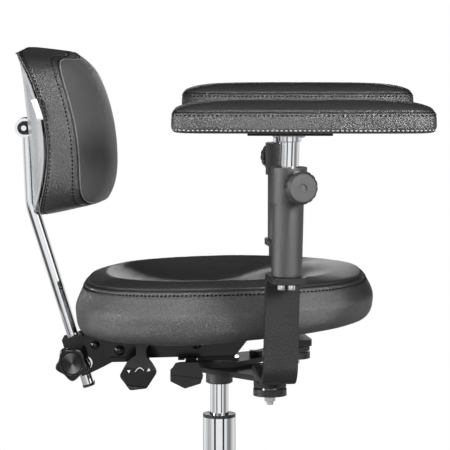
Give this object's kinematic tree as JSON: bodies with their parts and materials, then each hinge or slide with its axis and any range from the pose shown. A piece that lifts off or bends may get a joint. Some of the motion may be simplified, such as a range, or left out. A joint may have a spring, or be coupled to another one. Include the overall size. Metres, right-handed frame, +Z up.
{
  "type": "microscope chair",
  "caption": "Swivel work chair with a tilting padded seat, a lumbar backrest on a curved post and long padded armrests on swinging brackets.",
  "frame": {"origin": "floor level, on the axis of the gas lift", "axes": "+X to the chair's front, +Y to the sitter's left, +Z up"},
  "size_m": [0.6184, 0.692, 0.9152],
  "materials": {
    "base_alloy": "polished",
    "castor_plastic": "moulded black",
    "castor_tread": "soft dark grey tread",
    "chrome": "bright chrome plate",
    "black_bushing": "plain black plastic",
    "plain_steel": "ground steel",
    "black_knob": "fine-textured black plastic",
    "black_bolt": "blackened gloss",
    "seat_board": "plywood",
    "black_leather": "smooth black imitation leather",
    "pale_shell": "satin pale grey",
    "knob_disc": "spun metal",
    "black_paint": "satin black powder coat"
  },
  "bodies": {
    "base": {"star_base": "base_alloy", "outer_tube": "chrome", "tube_bushing": "black_bushing", "thrust_bearing": "plain_steel"},
    "castor_1": {"castor_frame_1": "castor_plastic"},
    "wheels_1": {"castor_wheels_1": "castor_tread"},
    "castor_2": {"castor_frame_2": "castor_plastic"},
    "wheels_2": {"castor_wheels_2": "castor_tread"},
    "castor_3": {"castor_frame_3": "castor_plastic"},
    "wheels_3": {"castor_wheels_3": "castor_tread"},
    "castor_4": {"castor_frame_4": "castor_plastic"},
    "wheels_4": {"castor_wheels_4": "castor_tread"},
    "castor_5": {"castor_frame_5": "castor_plastic"},
    "wheels_5": {"castor_wheels_5": "castor_tread"},
    "rod": {"piston_rod": "plain_steel"},
    "carrier": {"gas_tube": "chrome", "hub_sleeve": "black_paint", "hub_collar": "black_paint", "hub_washer": "chrome"},
    "height_lever_body": {"height_lever": "black_knob"},
    "tilting_seat": {"tilt_frame": "black_paint", "frame_bolts": "black_bolt", "seat_board": "seat_board", "seat_cushion": "black_leather", "back_bracket": "black_paint", "clamp_bolts": "chrome"},
    "tilt_lever_body": {"tilt_lever": "black_knob"},
    "clamp": {"back_clamp": "black_paint"},
    "star": {"star_knob": "black_knob", "knob_inset": "knob_disc"},
    "post": {"back_post": "chrome", "post_cap": "black_bushing", "back_hinge": "chrome"},
    "backrest": {"shell_bracket": "black_paint", "back_shell": "pale_shell", "back_cushion": "black_leather"},
    "right_swing": {"right_link": "black_paint", "right_pivot_bolt": "chrome", "right_wave_washer": "chrome", "right_friction_disc": "black_knob"},
    "right_arm": {"right_bracket": "black_paint", "right_tab_screws": "chrome", "right_arm_tube": "black_paint", "right_collar": "black_paint"},
    "right_knob_body": {"right_knob": "black_knob"},
    "right_riser": {"right_arm_post": "chrome"},
    "right_rest": {"right_pad_plate": "black_paint", "right_pad": "black_leather"},
    "left_swing": {"left_link": "black_paint", "left_pivot_bolt": "chrome", "left_wave_washer": "chrome", "left_friction_disc": "black_knob"},
    "left_arm": {"left_bracket": "black_paint", "left_tab_screws": "chrome", "left_arm_tube": "black_paint", "left_collar": "black_paint"},
    "left_knob_body": {"left_knob": "black_knob"},
    "left_riser": {"left_arm_post": "chrome"},
    "left_rest": {"left_pad_plate": "black_paint", "left_pad": "black_leather"}
  },
  "joints": [
    {"name": "castor_swivel_1", "type": "hinge", "parent": "base", "child": "castor_1", "pos_m": [0.25, 0, 0.06], "axis": [0, 0, 1], "continuous": true},
    {"name": "wheel_spin_1", "type": "hinge", "parent": "castor_1", "child": "wheels_1", "pos_m": [0.23, 0, 0.025], "axis": [0, 1, 0], "continuous": true},
    {"name": "castor_swivel_2", "type": "hinge", "parent": "base", "child": "castor_2", "pos_m": [0.07725, 0.23776, 0.06], "axis": [0, 0, 1], "continuous": true},
    {"name": "wheel_spin_2", "type": "hinge", "parent": "castor_2", "child": "wheels_2", "pos_m": [0.07107, 0.21874, 0.025], "axis": [-0.9511, 0.309, 0], "continuous": true},
    {"name": "castor_swivel_3", "type": "hinge", "parent": "base", "child": "castor_3", "pos_m": [-0.20225, 0.14695, 0.06], "axis": [0, 0, 1], "continuous": true},
    {"name": "wheel_spin_3", "type": "hinge", "parent": "castor_3", "child": "wheels_3", "pos_m": [-0.18607, 0.13519, 0.025], "axis": [-0.5878, -0.809, 0], "continuous": true},
    {"name": "castor_swivel_4", "type": "hinge", "parent": "base", "child": "castor_4", "pos_m": [-0.20225, -0.14695, 0.06], "axis": [0, 0, 1], "continuous": true},
    {"name": "wheel_spin_4", "type": "hinge", "parent": "castor_4", "child": "wheels_4", "pos_m": [-0.18607, -0.13519, 0.025], "axis": [0.5878, -0.809, 0], "continuous": true},
    {"name": "castor_swivel_5", "type": "hinge", "parent": "base", "child": "castor_5", "pos_m": [0.07725, -0.23776, 0.06], "axis": [0, 0, 1], "continuous": true},
    {"name": "wheel_spin_5", "type": "hinge", "parent": "castor_5", "child": "wheels_5", "pos_m": [0.07107, -0.21874, 0.025], "axis": [0.9511, 0.309, 0], "continuous": true},
    {"name": "seat_swivel", "type": "hinge", "parent": "base", "child": "rod", "pos_m": [0, 0, 0.09], "axis": [0, 0, 1], "continuous": true},
    {"name": "seat_height", "type": "slide", "parent": "rod", "child": "carrier", "axis": [0, 0, 1], "range_m": [-0.04, 0.15]},
    {"name": "height_lever_lift", "type": "hinge", "parent": "carrier", "child": "height_lever_body", "pos_m": [-0.042, -0.036, 0.452], "axis": [-1, 0, 0], "range_deg": [0, 6], "stiffness_Nm_per_rad": 2},
    {"name": "seat_tilt", "type": "hinge", "parent": "carrier", "child": "tilting_seat", "pos_m": [-0.034, 0, 0.472], "axis": [0, 1, 0], "range_deg": [0, 9.5]},
    {"name": "tilt_lever_turn", "type": "hinge", "parent": "tilting_seat", "child": "tilt_lever_body", "pos_m": [-0.115, -0.08, 0.477], "axis": [0, 1, 0], "range_deg": [-20, 20]},
    {"name": "back_recline", "type": "hinge", "parent": "tilting_seat", "child": "clamp", "pos_m": [-0.202, 0, 0.4407], "axis": [0, 1, 0], "range_deg": [-12, 4]},
    {"name": "star_knob_turn", "type": "hinge", "parent": "clamp", "child": "star", "pos_m": [-0.2197, -0.04432, 0.4427], "axis": [-0.1736, -0.9848, 0], "range_deg": [0, 300]},
    {"name": "back_height", "type": "slide", "parent": "clamp", "child": "post", "axis": [-0.2974, 0, 0.9548], "range_m": [-0.06, 0.019]},
    {"name": "backrest_tilt", "type": "hinge", "parent": "post", "child": "backrest", "pos_m": [-0.2947, 0, 0.7965], "axis": [0, 1, 0], "range_deg": [-10, 4]},
    {"name": "right_link_swing", "type": "hinge", "parent": "carrier", "child": "right_swing", "pos_m": [0, 0, 0.435], "axis": [0, 0, 1], "range_deg": [-25, 20]},
    {"name": "right_arm_swing", "type": "hinge", "parent": "right_swing", "child": "right_arm", "pos_m": [0.0765, -0.17, 0.449], "axis": [0, 0, -1], "range_deg": [-40, 40]},
    {"name": "right_knob_turn", "type": "hinge", "parent": "right_arm", "child": "right_knob_body", "pos_m": [0.11736, -0.32235, 0.73395], "axis": [0.3826, -0.9239, -0.0087], "range_deg": [0, 300]},
    {"name": "right_arm_height", "type": "slide", "parent": "right_arm", "child": "right_riser", "axis": [0.0227, 0, 0.9997], "range_m": [-0.03, 0.04]},
    {"name": "right_pad_turn", "type": "hinge", "parent": "right_riser", "child": "right_rest", "pos_m": [0.10346, -0.2854, 0.79578], "axis": [0.0227, 0, 0.9997], "range_deg": [-25, 25]},
    {"name": "left_link_swing", "type": "hinge", "parent": "carrier", "child": "left_swing", "pos_m": [0, 0, 0.435], "axis": [0, 0, 1], "range_deg": [-10, 20]},
    {"name": "left_arm_swing", "type": "hinge", "parent": "left_swing", "child": "left_arm", "pos_m": [0.117, 0.143, 0.4434], "axis": [0, 0, -1], "range_deg": [-8, 40]},
    {"name": "left_knob_turn", "type": "hinge", "parent": "left_arm", "child": "left_knob_body", "pos_m": [0.08795, 0.29725, 0.7289], "axis": [-0.2233, 0.9748, 0], "range_deg": [0, 300]},
    {"name": "left_arm_height", "type": "slide", "parent": "left_arm", "child": "left_riser", "axis": [0, 0, 1], "range_m": [-0.03, 0.04]},
    {"name": "left_pad_turn", "type": "hinge", "parent": "left_riser", "child": "left_rest", "pos_m": [0.09688, 0.25826, 0.7904], "axis": [0, 0, 1], "range_deg": [-25, 25]}
  ]
}
